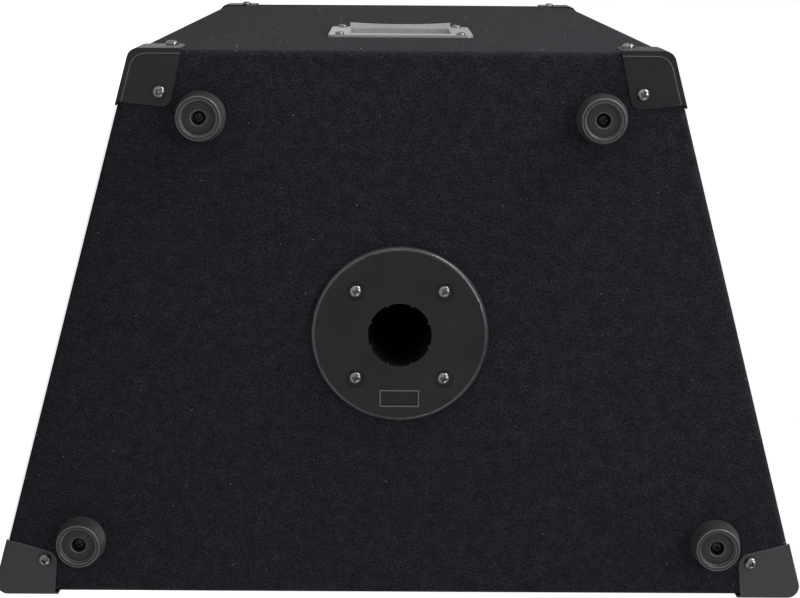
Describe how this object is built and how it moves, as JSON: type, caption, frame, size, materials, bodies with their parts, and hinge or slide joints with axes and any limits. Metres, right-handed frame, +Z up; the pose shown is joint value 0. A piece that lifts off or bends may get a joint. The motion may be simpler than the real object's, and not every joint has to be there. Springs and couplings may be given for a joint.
{
  "type": "stage monitor cabinet",
  "caption": "Carpeted two-way stage monitor cabinet with sloping sides, a pole socket and rubber feet on one end, a recessed input plate, handles and a sprung woofer cone behind the grille.",
  "frame": {"origin": "centre of the bounding box on the floor that the cabinet lies on", "axes": "+X from the foot end to the plain end, grille facing -Y and tilted up, +Z up"},
  "size_m": [0.6823, 0.4146, 0.4668],
  "materials": {
    "carpet": "fine black needle-felt carpet",
    "plywood": "birch plywood, bare inside",
    "black_board": "plywood painted matt black",
    "black_plastic": "satin moulded plastic",
    "grey_plastic": "satin moulded plastic",
    "plate_metal": "satin grey lacquer",
    "rubber": "matt rubber",
    "zinc": "bright zinc plate",
    "nickel": "polished nickel",
    "black_steel": "black powder coat",
    "cast_frame": "black paint on pressed steel",
    "paper": "pressed paper pulp",
    "cloth": "doped cloth",
    "spider_cloth": "resin-treated cloth",
    "copper": "enamelled copper",
    "steel": "plated steel",
    "ferrite": "ground ferrite",
    "titanium": "thin foil",
    "circuit_board": "lacquered laminate",
    "film": "wrapped film",
    "ceramic": "fired ceramic",
    "nylon": "moulded nylon",
    "red_wire": "vinyl sleeve",
    "black_wire": "vinyl sleeve",
    "blue_wire": "vinyl sleeve",
    "wadding": "polyester wadding"
  },
  "bodies": {
    "cabinet": {"carpet_cover": "carpet", "end_board_feet": "plywood", "end_board_plain": "plywood", "side_board_floor": "plywood", "side_board_top": "plywood", "rear_board": "plywood", "baffle_board": "black_board", "baffle_battens": "plywood", "protectors_front": "grey_plastic", "protectors_rear": "black_plastic", "protector_screws": "zinc", "pole_socket": "black_plastic", "pole_socket_screws": "zinc", "rubber_feet": "rubber", "foot_washers": "zinc", "foot_screws": "zinc", "input_plate": "plate_metal", "input_plate_screws": "zinc", "jack_sockets": "black_plastic", "jack_nuts": "nickel", "handle_cups": "black_plastic", "handle_grips": "rubber", "handle_screws": "black_steel", "grille": "black_steel", "grille_spacers": "rubber", "grille_screws": "black_steel", "woofer_frame": "cast_frame", "woofer_gasket": "rubber", "woofer_surround": "cloth", "woofer_spider": "spider_cloth", "woofer_top_plate": "steel", "woofer_magnet": "ferrite", "woofer_yoke": "steel", "woofer_screws": "black_steel", "horn_flare": "black_plastic", "horn_screws": "black_steel", "horn_driver": "cast_frame", "horn_diaphragm": "titanium", "horn_cap": "black_plastic", "port_tubes": "black_plastic", "port_screws": "black_steel", "crossover_board": "circuit_board", "crossover_coils": "copper", "crossover_capacitors": "film", "crossover_resistors": "ceramic", "crossover_spacers": "nylon", "crossover_screws": "zinc", "wire_input": "red_wire", "wire_woofer": "black_wire", "wire_horn": "blue_wire", "damping_pad": "wadding"},
    "woofer_cone": {"woofer_cone": "paper", "woofer_dust_cap": "paper", "woofer_voice_coil": "copper"}
  },
  "joints": [
    {"name": "woofer_travel", "type": "slide", "parent": "cabinet", "child": "woofer_cone", "axis": [0, -0.9659, 0.2588], "range_m": [-0.006, 0.006], "stiffness_N_per_m": 3000, "deforming": ["woofer_surround", "woofer_spider"]}
  ]
}
